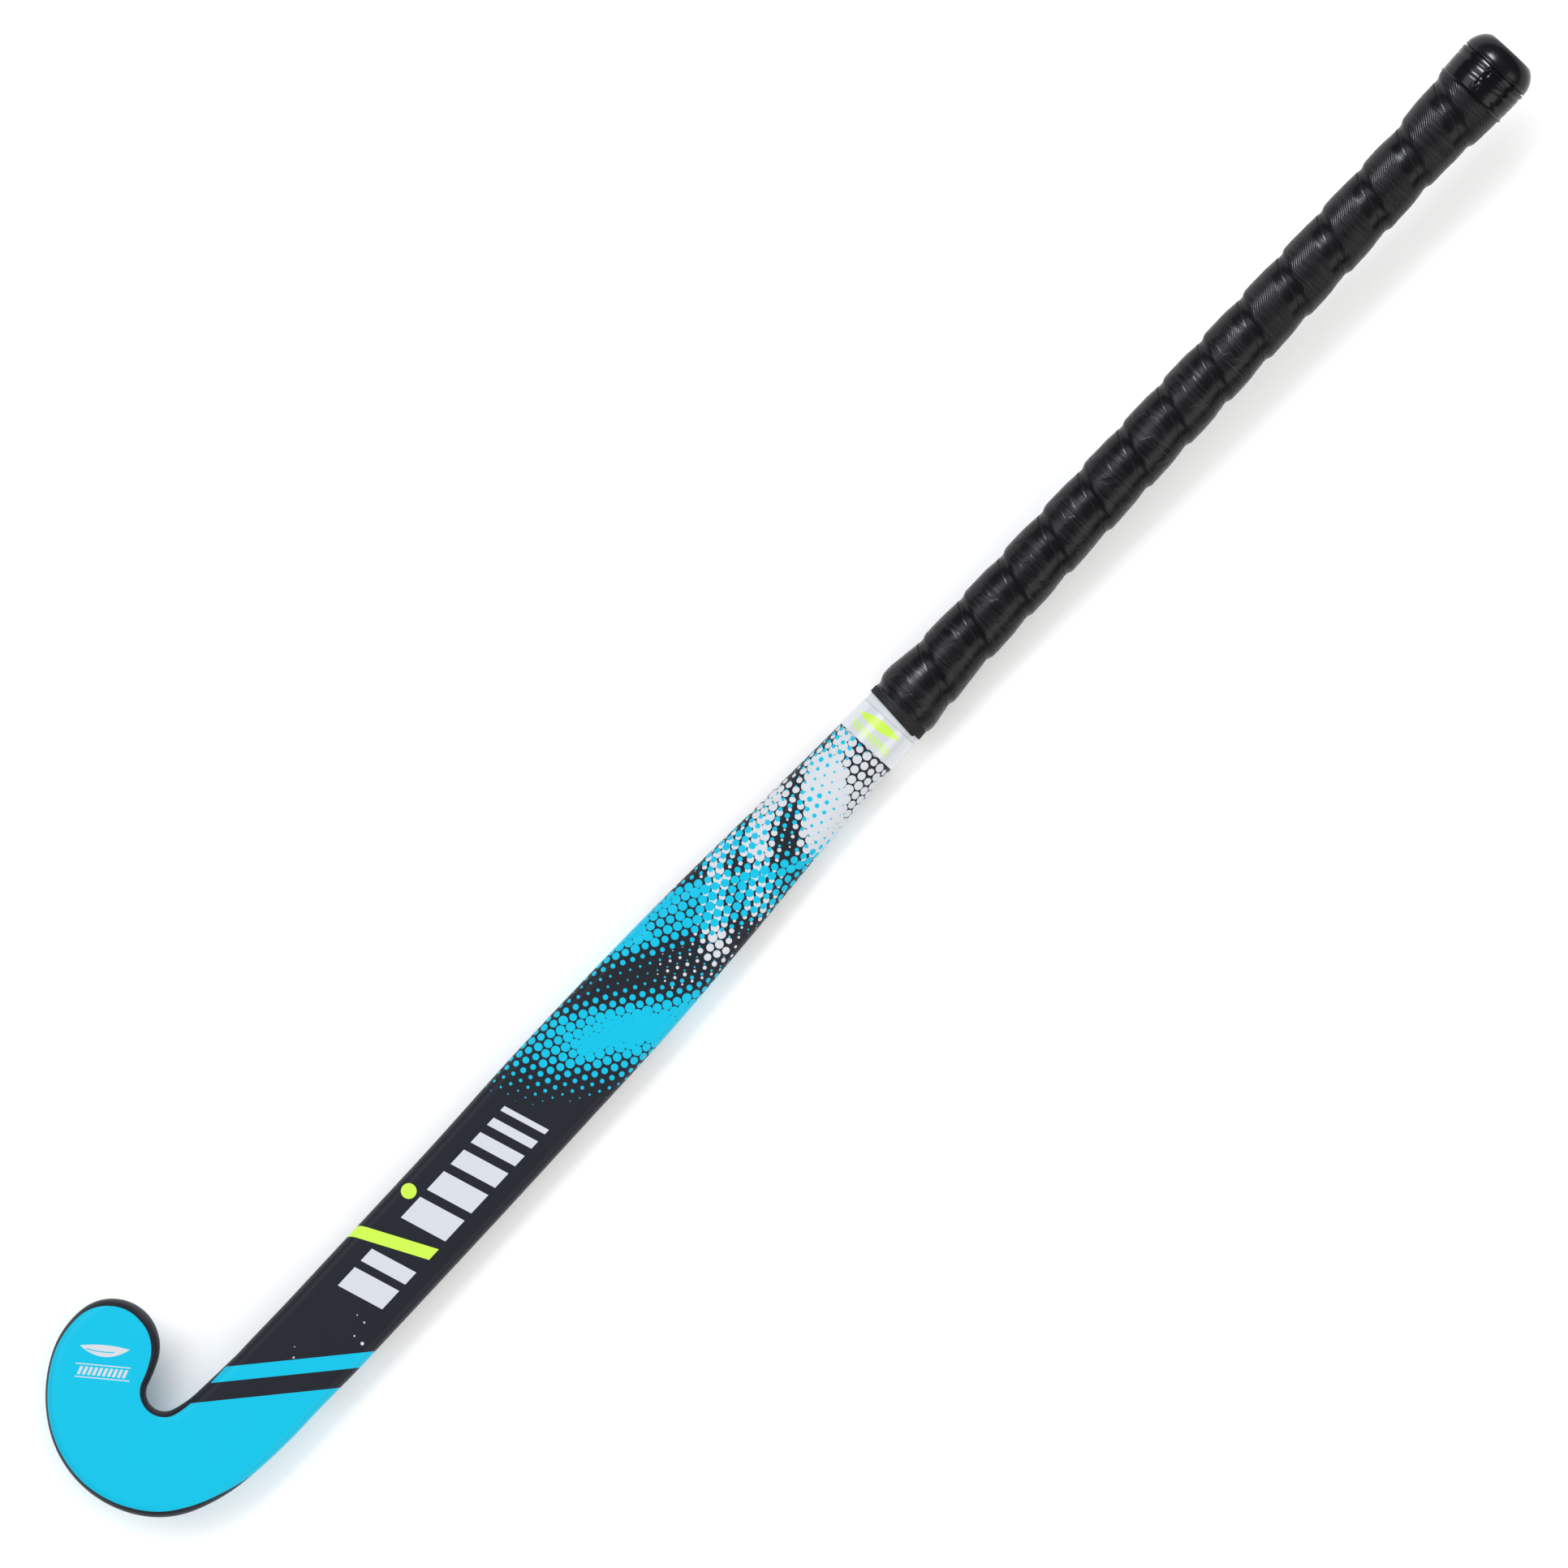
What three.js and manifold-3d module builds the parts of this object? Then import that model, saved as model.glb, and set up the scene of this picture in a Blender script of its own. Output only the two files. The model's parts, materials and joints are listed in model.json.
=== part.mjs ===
// A right-handed field hockey stick, lying on its rounded back with the flat playing face up.
// Millimetres. x runs from the heel of the hook to the butt, y from the handle's axis towards the toe,
// z up. The stick is a laminated head and shaft of mulberry, a cane handle with rubber strips let into
// it by a V splice, a thread binding round the splice, a printed glass-fibre skin, a wound grip and a cap.

import * as THREE from 'three';
import { mergeVertices } from 'three/addons/utils/BufferGeometryUtils.js';
import Module from 'manifold-3d';

const wasm = await Module();
wasm.setup();

// ---------------------------------------------------------------- driving dimensions

const LENGTH = 927; // heel to butt
const GAP = 0.3; // glue line or clearance between neighbouring pieces

// The bow: straight head, one long arc, straight handle. The arc's lowest point sets the stick's tilt.
const BOW_RADIUS = 4144;
const BOW_START = 90;
const BOW_END = 620;
const BOW_LOWEST = 272;
const FACE_HEIGHT = 23; // of the face above the floor at the lowest point, before the stick is set down

// The hook's outline: tangent arcs traced clockwise from the heel-side edge, as [radius, degrees turned].
const HEAD_END = 95.5; // where the hook's arcs meet the straight shaft
const HEAD_START = { y: -23.4, heading: 180.8 };
const OUTER_ARCS = [[300, 8], [88, 18], [45, 31], [53, 68], [65, 31], [42, 33], [22, 81.8]];
const INNER_ARCS = [[22, 65], [73, 9], [8.5, -144.5], [50, -15.5], [1400, -1.8]];
const CROOK = { x: 58, y: 32.5 }; // centre of the crook, the pivot of the hook's cross-sections

// The shaft and handle: distance from the heel, heel-side edge, toe-side edge.
const EDGES = [
  [95.5, -23.4, 21.3], [130, -24.2, 20.9], [210, -24.3, 20.9], [285, -23.9, 21.9], [330, -23.6, 21.6],
  [365, -22.3, 20.9], [400, -20.6, 19.6], [440, -18.2, 17.6], [480, -16.4, 15.9], [511, -15.0, 14.7],
  [528, -14.5, 14.5], [552, -13.1, 13.1], [860, -13.1, 13.1], [880, -14.4, 14.4], [897, -15.6, 15.6],
  [908, -16.1, 16.1], [920, -16.2, 16.2],
];
const THICKNESS = [[0, 20.5], [60, 21], [110, 23], [300, 22.8], [400, 24], [470, 27], [508, 29.9]];
const ROUNDING = { start: 320, end: 508 }; // the D section turns into a circle between these
const FACE_CORNER = { run: 5, drop: 6 }; // edge of the flat face
const BACK_CORNER = 0.76; // share of the half-width taken by the back's rounding
const TOE_CORNER = 9; // rounding of the toe's end
const HANDLE_DEPTH = 14.4; // handle's axis below the line of the face

const SKIN = 1;
const SKIN_END = 528.3;
const WOOD_INSET = SKIN + GAP;
const BINDING = { start: 430, end: 508.2, thick: 0.5 };

const SPLICE = { apex: 350, shoulder: 505, half: 13.6, y: -0.6 };
const LAMINATIONS = 6;
const LAMINATION_PITCH = 7.5;
const STAVES = 4;
const STAVE = 4.5;
const RUBBER = 1.2;

const COLLAR = { start: 493, end: 508.5, thick: 0.3 };
const BAND = { start: 511, end: 516.7, thick: 0.6 };
const UNDERLAY = { start: 528.6, end: 899.8, inner: 1, outer: 0.2 };
const WOOD_END = 917;
const CAP = { start: 900.4, wall: 1.4, end: LENGTH };
const CLOSING = { start: 900.6, end: 914.4, thick: 1.1 };

const GRIP = { start: 517, end: 900, pitch: 26.8, firstEdge: 530.6, lap: 6, thick: 1.2, edge: 0.5 };
const GRIP_SIDES = 14;

const CORNER_STEPS = 4;
const FAN_STEPS = 14;
const TOE_STEPS = 6;

// ---------------------------------------------------------------- curves

const { clamp, degToRad, lerp, smoothstep } = THREE.MathUtils;

// A value read off a short list of [distance, value, ...] rows by a cubic that never overshoots them.
function along(rows, x, column = 1) {
  const last = rows.length - 1;
  if (x <= rows[0][0]) return rows[0][column];
  if (x >= rows[last][0]) return rows[last][column];
  const i = rows.findIndex((row) => row[0] > x) - 1;
  const rise = (k) => (rows[k + 1][column] - rows[k][column]) / (rows[k + 1][0] - rows[k][0]);
  const slope = (k) => {
    if (k === 0 || k === last || rise(k - 1) * rise(k) <= 0) return 0;
    return (2 * rise(k - 1) * rise(k)) / (rise(k - 1) + rise(k));
  };
  const width = rows[i + 1][0] - rows[i][0];
  const t = (x - rows[i][0]) / width;
  const a = rows[i][column];
  const b = rows[i + 1][column];
  return (1 + 2 * t) * (1 - t) ** 2 * a + t * (1 - t) ** 2 * width * slope(i)
    + t * t * (3 - 2 * t) * b + t * t * (t - 1) * width * slope(i + 1);
}

// Height of the flat face, or of the line that carries it on over the handle.
function faceHeight(x) {
  const bent = clamp(x, BOW_START, BOW_END);
  const slope = (bent - BOW_LOWEST) / BOW_RADIUS;
  return FACE_HEIGHT + (bent - BOW_LOWEST) * slope / 2 + slope * (x - bent);
}

// Traces tangent arcs from a point and heading. A positive turn is clockwise.
function traceArcs(start, heading, arcs) {
  const points = [start.clone()];
  let angle = degToRad(heading);
  for (const [radius, degrees] of arcs) {
    const turn = degToRad(degrees);
    const side = Math.sign(turn);
    const from = points[points.length - 1];
    const centre = new THREE.Vector2(Math.sin(angle), -Math.cos(angle)).multiplyScalar(radius * side).add(from);
    const steps = Math.ceil(Math.abs(degrees) / 3);
    for (let i = 1; i <= steps; i += 1) {
      points.push(from.clone().rotateAround(centre, -turn * i / steps));
    }
    angle -= turn;
  }
  return points;
}

// The hook's outer and inner edges, set in from the outside by some distance.
function hookEdges(inset) {
  const set = ([radius, degrees]) => [radius - Math.sign(degrees) * inset, degrees];
  const start = new THREE.Vector2(HEAD_END, HEAD_START.y + inset);
  const outer = traceArcs(start, HEAD_START.heading, OUTER_ARCS.map(set));
  const tip = outer[outer.length - 1];
  const inner = traceArcs(tip, -90, INNER_ARCS.map(set));
  return { outer, inner, tip };
}

// Where a ray from the given point first leaves through an edge.
function crossing(edge, from, direction) {
  let nearest = Infinity;
  for (let i = 0; i + 1 < edge.length; i += 1) {
    const side = edge[i + 1].clone().sub(edge[i]);
    const turn = direction.cross(side);
    const offset = edge[i].clone().sub(from);
    const distance = offset.cross(side) / turn;
    const share = offset.cross(direction) / turn;
    if (share >= -1e-6 && share <= 1 + 1e-6 && distance > 0) nearest = Math.min(nearest, distance);
  }
  return direction.clone().multiplyScalar(nearest).add(from);
}

// ---------------------------------------------------------------- cross-sections

// How far the section has turned from a D into a circle.
const roundness = (x) => smoothstep(x, ROUNDING.start, ROUNDING.end);

const edgeRadius = (x) => (along(EDGES, x, 2) - along(EDGES, x, 1)) / 2;
const axisY = (x) => (along(EDGES, x, 2) + along(EDGES, x, 1)) / 2;
const axisZ = (x) => faceHeight(x) - HANDLE_DEPTH;

const thickness = (x) => (x < ROUNDING.end ? along(THICKNESS, x) : 2 * edgeRadius(x));

// Drop of the section's top below the face line, which keeps the handle's axis straight.
const topDrop = (x) => roundness(x) * (HANDLE_DEPTH - thickness(x) / 2);

// One closed section as [across, depth] pairs: flat face, rounded face corners, rounded back.
function sectionLoop(half, x, inset, squash) {
  const blend = roundness(x);
  const thick = thickness(x) - 2 * inset;
  const faceRun = Math.min(lerp(FACE_CORNER.run - inset, half, blend), half);
  const backRun = Math.min(lerp(BACK_CORNER, 1, blend) * half, half);
  const drop = lerp(FACE_CORNER.drop - inset, thick / 2, blend);
  const side = [];
  for (let i = 0; i <= CORNER_STEPS; i += 1) {
    const a = Math.PI / 2 * i / CORNER_STEPS;
    side.push([half - faceRun * (1 - Math.sin(a)), drop * (1 - Math.cos(a))]);
  }
  for (let i = 1; i <= CORNER_STEPS; i += 1) {
    const a = Math.PI / 2 * i / CORNER_STEPS;
    side.push([half - backRun * (1 - Math.cos(a)), drop + (thick - drop) * Math.sin(a)]);
  }
  const loop = [...side, ...side.map(([across, depth]) => [-across, depth]).reverse()];
  return loop.map(([across, depth]) => [across, inset + thick / 2 + (depth - thick / 2) * squash]);
}

// Stands a section up between its inner and outer edge points.
function raise(inner, outer, x, inset, squash = 1) {
  const middle = inner.clone().add(outer).multiplyScalar(0.5);
  const across = outer.clone().sub(inner);
  const half = across.length() / 2;
  across.normalize();
  return sectionLoop(half, x, inset, squash).map(([offset, depth]) => {
    const px = middle.x + across.x * offset;
    const py = middle.y + across.y * offset;
    return new THREE.Vector3(px, py, faceHeight(px) - topDrop(px) - depth);
  });
}

function shaftRing(x, inset) {
  const inner = new THREE.Vector2(x, along(EDGES, x, 2) - inset);
  const outer = new THREE.Vector2(x, along(EDGES, x, 1) + inset);
  return raise(inner, outer, x, inset);
}

// Distances of the sections between two ends of the shaft or handle, closer where it changes faster.
function shaftStations(from, to, extra = []) {
  const regular = [130, 170, 210, 250, 290, 320, 345, 365, 385, 405, 425, 445, 465, 485, 508, 518,
    528, 540, 552, 585, 620, 860, 868, 880, 888, 897, 908, 917];
  const inside = [...regular, ...extra].filter((x) => x > from + 1e-6 && x < to - 1e-6);
  return [from, ...new Set(inside.sort((a, b) => a - b)), to];
}

// The hook's sections from the toe's tip to the straight shaft.
function hookRings(inset) {
  const { outer, inner, tip } = hookEdges(inset);
  const rings = [];
  const lastAngle = 84;
  for (let i = 0; i <= TOE_STEPS; i += 1) {
    const x = CROOK.x + (tip.x - CROOK.x) * Math.sin(degToRad(lastAngle) * (1 - i / TOE_STEPS));
    const middle = new THREE.Vector2(x, tip.y);
    const a = crossing(inner, middle, new THREE.Vector2(0, -1));
    const b = crossing(outer, middle, new THREE.Vector2(0, 1));
    const corner = TOE_CORNER - inset;
    const inFromTip = clamp((tip.x - x) / corner, 0, 1);
    rings.push(raise(a, b, x, inset, Math.sqrt(1 - (1 - inFromTip) ** 2)));
  }
  const pivot = new THREE.Vector2(CROOK.x, CROOK.y);
  for (let i = 1; i <= FAN_STEPS; i += 1) {
    const angle = Math.PI / 2 + Math.PI * i / FAN_STEPS;
    const ray = new THREE.Vector2(Math.cos(angle), Math.sin(angle));
    const a = crossing(inner, pivot, ray);
    rings.push(raise(a, crossing(outer, pivot, ray), a.x, inset));
  }
  for (const x of [70, 82]) {
    const middle = new THREE.Vector2(x, 0);
    const a = crossing(inner, middle, new THREE.Vector2(0, 1));
    rings.push(raise(a, crossing(outer, middle, new THREE.Vector2(0, -1)), x, inset));
  }
  return rings;
}

// Every section of one layer of the stick, from the toe's tip to a given distance.
function stickRings(insetAt, end, extra = []) {
  const shaft = shaftStations(HEAD_END, end, extra).map((x) => shaftRing(x, insetAt(x)));
  return [...hookRings(insetAt(0)), ...shaft];
}

// ---------------------------------------------------------------- solids

function faceOutwards(points, faces) {
  let volume = 0;
  for (const [a, b, c] of faces) volume += points[a].dot(points[b].clone().cross(points[c]));
  const index = volume > 0 ? faces.flat() : faces.map(([a, b, c]) => [a, c, b]).flat();
  const geometry = new THREE.BufferGeometry();
  geometry.setAttribute('position', new THREE.Float32BufferAttribute(points.flatMap((p) => p.toArray()), 3));
  geometry.setIndex(index);
  return geometry;
}

// Walls between successive rings. `first` is the index of the first ring's first point.
function walls(rings, first, faces, reverse) {
  const count = rings[0].length;
  for (let i = 0; i + 1 < rings.length; i += 1) {
    for (let j = 0; j < count; j += 1) {
      const a = first + i * count + j;
      const b = first + i * count + (j + 1) % count;
      const quad = [[a, b, b + count], [a, b + count, a + count]];
      faces.push(...(reverse ? quad.map(([p, q, r]) => [p, r, q]) : quad));
    }
  }
}

function lid(first, count, faces, reverse) {
  for (let j = 1; j + 1 < count; j += 1) {
    faces.push(reverse ? [first, first + j + 1, first + j] : [first, first + j, first + j + 1]);
  }
}

function loft(rings) {
  const count = rings[0].length;
  const faces = [];
  walls(rings, 0, faces, false);
  lid(0, count, faces, true);
  lid((rings.length - 1) * count, count, faces, false);
  return faceOutwards(rings.flat(), faces);
}

// A wall between an outer and an inner set of rings, each end either closed or an open rim.
function shell(outer, inner, { closedStart = false, closedEnd = false } = {}) {
  const count = outer[0].length;
  const faces = [];
  const inside = outer.length * count;
  walls(outer, 0, faces, false);
  walls(inner, inside, faces, true);
  const finish = (closed, a, b, flip) => {
    if (closed) {
      lid(a, count, faces, !flip);
      lid(b, count, faces, flip);
      return;
    }
    for (let j = 0; j < count; j += 1) {
      const k = (j + 1) % count;
      const rim = [[a + j, b + j, b + k], [a + j, b + k, a + k]];
      faces.push(...(flip ? rim.map(([p, q, r]) => [p, r, q]) : rim));
    }
  };
  finish(closedStart, 0, inside, false);
  finish(closedEnd, (outer.length - 1) * count, inside + (inner.length - 1) * count, true);
  return faceOutwards([...outer, ...inner].flat(), faces);
}

function toSolid(geometry) {
  const merged = mergeVertices(geometry, 1e-4);
  return new wasm.Manifold(new wasm.Mesh({
    numProp: 3,
    vertProperties: new Float32Array(merged.attributes.position.array),
    triVerts: new Uint32Array(merged.index.array),
  }));
}

function toGeometry(solid) {
  const { vertProperties, triVerts } = solid.getMesh();
  const geometry = new THREE.BufferGeometry();
  geometry.setAttribute('position', new THREE.Float32BufferAttribute(vertProperties, 3));
  geometry.setIndex(Array.from(triVerts));
  return geometry;
}

// An upright prism over a polygon of [x, y] corners.
function prism(corners) {
  const ring = (z) => corners.map(([x, y]) => new THREE.Vector3(x, y, z));
  return loft([ring(-100), ring(200)]);
}

// ---------------------------------------------------------------- wood and rubber

// The layer of wood under the skin, the binding and the grip, as one block.
function woodBlock() {
  const recess = BINDING.thick + GAP;
  const ramp = 0.5;
  const insetAt = (x) => WOOD_INSET + (x > BINDING.start - ramp && x < BINDING.end + ramp ? recess : 0);
  const steps = [BINDING.start - 2 * ramp, BINDING.start - ramp / 2, BINDING.end + ramp / 2, BINDING.end + 2 * ramp];
  return toSolid(loft(stickRings(insetAt, WOOD_END, steps)));
}

// The handle's side of the V splice, grown by a clearance.
function spliceWedge(clearance) {
  const { apex, shoulder, half, y } = SPLICE;
  const tipShift = clearance * (shoulder - apex) / half;
  const wide = 60;
  return toSolid(prism([
    [apex - tipShift, y], [shoulder - clearance, y - half - clearance], [shoulder - clearance, y - wide],
    [LENGTH, y - wide], [LENGTH, y + wide], [shoulder - clearance, y + wide],
    [shoulder - clearance, y + half + clearance],
  ]));
}

// A strip that follows the hook and shaft between two distances across it, from heel side to toe side.
function bentStrip(near, far) {
  const { outer, inner } = hookEdges(0);
  const pivot = new THREE.Vector2(CROOK.x, CROOK.y);
  const rings = [];
  const add = (middle, across) => {
    const corner = (offset, z) => new THREE.Vector3(middle.x + across.x * offset, middle.y + across.y * offset, z);
    rings.push([corner(near, -100), corner(far, -100), corner(far, 200), corner(near, 200)]);
  };
  const overTheToe = 25;
  for (let i = 0; i <= FAN_STEPS; i += 1) {
    const angle = Math.PI / 2 + Math.PI * i / FAN_STEPS;
    const ray = new THREE.Vector2(Math.cos(angle), Math.sin(angle));
    const middle = crossing(inner, pivot, ray).add(crossing(outer, pivot, ray)).multiplyScalar(0.5);
    if (i === 0) add(new THREE.Vector2(middle.x + overTheToe, middle.y), ray);
    add(middle, ray);
  }
  const down = new THREE.Vector2(0, -1);
  for (const x of [75, HEAD_END, 130, 210, 285, 330, SPLICE.shoulder]) {
    add(new THREE.Vector2(x, axisY(Math.max(x, HEAD_END))), down);
  }
  return toSolid(loft(rings));
}

function laminationRange(i) {
  const near = (i - LAMINATIONS / 2) * LAMINATION_PITCH;
  const beyond = 27;
  return [
    i === 0 ? -beyond : near + GAP / 2,
    i === LAMINATIONS - 1 ? beyond : near + LAMINATION_PITCH - GAP / 2,
  ];
}

// Straight staves and rubber strips across the handle, in turn: stave, rubber, stave and so on.
function handleLayers() {
  const layers = [];
  const count = 2 * STAVES - 1;
  const total = STAVES * STAVE + (STAVES - 1) * RUBBER + (count - 1) * GAP;
  let y = -total / 2;
  for (let i = 0; i < count; i += 1) {
    const rubber = i % 2 === 1;
    const width = rubber ? RUBBER : STAVE;
    layers.push({
      name: rubber ? `rubber_strip_${(i + 1) / 2}` : `cane_stave_${i / 2 + 1}`,
      rubber,
      near: i === 0 ? -40 : y,
      far: i === count - 1 ? 40 : y + width,
    });
    y += width + GAP;
  }
  return layers;
}

// ---------------------------------------------------------------- grip and ends

function roundRing(x, radius, sides, start = 0) {
  return Array.from({ length: sides }, (_, j) => {
    const a = start + Math.PI * 2 * j / sides;
    return new THREE.Vector3(x, axisY(x) + radius * Math.cos(a), axisZ(x) + radius * Math.sin(a));
  });
}

// A round sleeve that follows the handle at a given distance outside its surface.
function sleeve(from, to, inner, outer) {
  const stations = shaftStations(from, to);
  return shell(stations.map((x) => shaftRing(x, -outer)), stations.map((x) => shaftRing(x, -inner)));
}

// The grip tape: one strip wound in a helix, each turn lapped over the skived edge of the next.
function gripTape() {
  const { pitch, lap, thick, edge } = GRIP;
  const over = edge + (thick - edge) * 0.75;
  const profile = [
    [0, 0], [pitch / 2, 0], [pitch - 1, 0], [pitch, edge + GAP], [pitch + lap, over + GAP],
    [pitch + lap, over + GAP + edge], [pitch - 3, thick], [lap + 2, thick], [0, edge],
  ];
  const spread = 1 / Math.cos(Math.PI / GRIP_SIDES);
  const firstTurn = (GRIP.start - GRIP.firstEdge) / pitch - 0.1;
  const lastTurn = (GRIP.end + pitch + lap - GRIP.firstEdge) / pitch + 0.1;
  const steps = Math.ceil((lastTurn - firstTurn) * GRIP_SIDES);
  const rings = Array.from({ length: steps + 1 }, (_, i) => {
    const turn = firstTurn + i / GRIP_SIDES;
    const angle = Math.PI - turn * Math.PI * 2;
    const start = GRIP.firstEdge + turn * pitch - pitch - lap;
    return profile.map(([u, height]) => {
      const x = start + u;
      const radius = (edgeRadius(x) + GAP + height) * spread;
      return new THREE.Vector3(x, axisY(x) + radius * Math.cos(angle), axisZ(x) + radius * Math.sin(angle));
    });
  });
  const trim = prism([[GRIP.start, -40], [GRIP.end, -40], [GRIP.end, 40], [GRIP.start, 40]]);
  return toGeometry(toSolid(loft(rings)).intersect(toSolid(trim)));
}

// The butt cap: a cup over the handle's end with a rounded, flat-ended nose.
function buttCap() {
  const skirt = (x) => edgeRadius(x) - WOOD_INSET + GAP + CAP.wall;
  const nose = [[914.8, 18], [918, 18], [920, 17.4], [922.3, 16.4], [924.5, 15], [926.2, 13.4], [CAP.end, 12.2]];
  const skirtStations = [CAP.start, 903, 908, 914.7];
  const sides = 24;
  const outer = [...skirtStations.map((x) => roundRing(x, skirt(x), sides)),
    ...nose.map(([x, radius]) => roundRing(x, radius, sides))];
  const bore = (x) => (edgeRadius(x) - WOOD_INSET + GAP) / Math.cos(Math.PI / sides);
  const inner = [CAP.start, 903, 908, WOOD_END + GAP].map((x) => roundRing(x, bore(x), sides));
  return shell(outer, inner, { closedEnd: true });
}

// The glossy tape that closes the top of the grip, stuck round the cap's skirt.
function closingTape() {
  const sides = 24;
  const inside = (x) => (edgeRadius(x) - WOOD_INSET + 2 * GAP + CAP.wall) / Math.cos(Math.PI / sides);
  const stations = [CLOSING.start, 903, 908, CLOSING.end];
  return shell(
    stations.map((x) => roundRing(x, inside(x) + CLOSING.thick, sides)),
    stations.map((x) => roundRing(x, inside(x), sides)),
  );
}

// ---------------------------------------------------------------- assembly

const material = (color, roughness, metalness = 0) => new THREE.MeshStandardMaterial({ color, roughness, metalness });
const MATERIALS = {
  skin: material(0x28252c, 0.3),
  mulberry: material(0xc79a5b, 0.6),
  cane: material(0xd9bd84, 0.65),
  rubber: material(0x2b2b2b, 0.8),
  binding: material(0xd8cfb8, 0.8),
  film: material(0xe6ecf6, 0.2),
  band: material(0x141314, 0.75),
  underlay: material(0xe9e4d6, 0.7),
  grip: material(0x222123, 0.45),
  closing: material(0x161618, 0.18),
  cap: material(0x111113, 0.25),
};

const stick = new THREE.Group();

function addPiece(name, geometry, slot) {
  const mesh = new THREE.Mesh(geometry, MATERIALS[slot]);
  mesh.name = name;
  stick.add(mesh);
}

const wood = woodBlock();
const headWood = wood.subtract(spliceWedge(GAP / 2));
const handleWood = wood.intersect(spliceWedge(-GAP / 2));

for (let i = 0; i < LAMINATIONS; i += 1) {
  const strip = headWood.intersect(bentStrip(...laminationRange(i)));
  addPiece(`mulberry_lamination_${i + 1}`, toGeometry(strip), 'mulberry');
}
for (const { name, rubber, near, far } of handleLayers()) {
  const slab = toSolid(prism([[300, near], [LENGTH, near], [LENGTH, far], [300, far]]));
  addPiece(name, toGeometry(handleWood.intersect(slab)), rubber ? 'rubber' : 'cane');
}
addPiece('splice_binding', sleeve(BINDING.start, BINDING.end, -WOOD_INSET - BINDING.thick, -WOOD_INSET), 'binding');
addPiece('fibreglass_skin', shell(
  stickRings(() => 0, SKIN_END),
  stickRings(() => SKIN, SKIN_END),
  { closedStart: true },
), 'skin');
addPiece('collar_film', sleeve(COLLAR.start, COLLAR.end, GAP, GAP + COLLAR.thick), 'film');
addPiece('finishing_band', sleeve(BAND.start, BAND.end, GAP, GAP + BAND.thick), 'band');
addPiece('grip_underlay', sleeve(UNDERLAY.start, UNDERLAY.end, -UNDERLAY.inner, -UNDERLAY.outer), 'underlay');
addPiece('grip_tape', gripTape(), 'grip');
addPiece('closing_tape', closingTape(), 'closing');
addPiece('butt_cap', buttCap(), 'cap');

// The origin is the middle of the underside of the stick's box.
const box = new THREE.Box3().setFromObject(stick);
const middle = box.getCenter(new THREE.Vector3());
stick.position.set(-middle.x, -middle.y, -box.min.z);

export default stick;
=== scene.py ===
"""Looks of the field hockey stick: printed skin, wound grip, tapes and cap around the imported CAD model.

Lengths are in millimetres in the stick's own axes until a mesh is made: x from the heel of the hook
towards the butt, y from the handle's axis towards the toe, z up. The frame says where that lies."""

import functools
import json
import math

import bmesh
import bpy
import numpy as np
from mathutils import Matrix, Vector, noise


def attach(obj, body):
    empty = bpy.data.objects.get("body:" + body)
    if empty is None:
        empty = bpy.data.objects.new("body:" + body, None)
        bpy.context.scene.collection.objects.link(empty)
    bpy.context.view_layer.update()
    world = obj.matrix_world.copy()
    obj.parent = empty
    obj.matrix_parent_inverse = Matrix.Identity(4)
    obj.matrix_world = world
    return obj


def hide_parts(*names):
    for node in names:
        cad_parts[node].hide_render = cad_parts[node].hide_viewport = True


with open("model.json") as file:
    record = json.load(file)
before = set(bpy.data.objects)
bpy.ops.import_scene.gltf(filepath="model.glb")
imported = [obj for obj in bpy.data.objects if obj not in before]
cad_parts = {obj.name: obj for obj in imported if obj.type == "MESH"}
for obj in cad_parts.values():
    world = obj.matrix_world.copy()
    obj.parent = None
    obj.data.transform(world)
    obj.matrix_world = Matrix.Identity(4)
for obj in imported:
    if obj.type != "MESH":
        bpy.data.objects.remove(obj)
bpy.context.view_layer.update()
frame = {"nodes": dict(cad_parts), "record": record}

MM = 0.001

# ---------------------------------------------------------------- the stick's shape, as in its CAD model

LENGTH = 927.0
BOW_RADIUS, BOW_START, BOW_END, BOW_LOWEST = 4144.0, 90.0, 620.0, 272.0
FACE_HEIGHT = 23.0
HEAD_END = 95.5
HEAD_START_Y, HEAD_HEADING = -23.4, 180.8
OUTER_ARCS = [(300, 8), (88, 18), (45, 31), (53, 68), (65, 31), (42, 33), (22, 81.8)]
INNER_ARCS = [(22, 65), (73, 9), (8.5, -144.5), (50, -15.5), (1400, -1.8)]
CROOK = np.array([58.0, 32.5])
EDGES = [
    (95.5, -23.4, 21.3), (130, -24.2, 20.9), (210, -24.3, 20.9), (285, -23.9, 21.9), (330, -23.6, 21.6),
    (365, -22.3, 20.9), (400, -20.6, 19.6), (440, -18.2, 17.6), (480, -16.4, 15.9), (511, -15.0, 14.7),
    (528, -14.5, 14.5), (552, -13.1, 13.1), (860, -13.1, 13.1), (880, -14.4, 14.4), (897, -15.6, 15.6),
    (908, -16.1, 16.1), (920, -16.2, 16.2),
]
THICKNESS = [(0, 20.5), (60, 21), (110, 23), (300, 22.8), (400, 24), (470, 27), (508, 29.9)]
ROUND_START, ROUND_END = 320.0, 508.0
FACE_RUN, FACE_DROP = 5.0, 6.0
BACK_SHARE = 0.76
TOE_CORNER = 9.0
HANDLE_DEPTH = 14.4
GAP = 0.3
SKIN = 1.0
SKIN_END = 528.3
WOOD_INSET = SKIN + GAP
COLLAR_START, COLLAR_END, FILM = 493.0, 508.5, 0.3
BAND_MIDDLE, BAND_END, BAND_TAPE = 511.8, 516.9, 0.7
GRIP_START, GRIP_END = 517.0, 900.0
CLOSING_START, CLOSING_END, CLOSING_TAPE = 899.3, 915.3, 1.1
CAP_START, CAP_WALL = 900.4, 1.4
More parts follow.
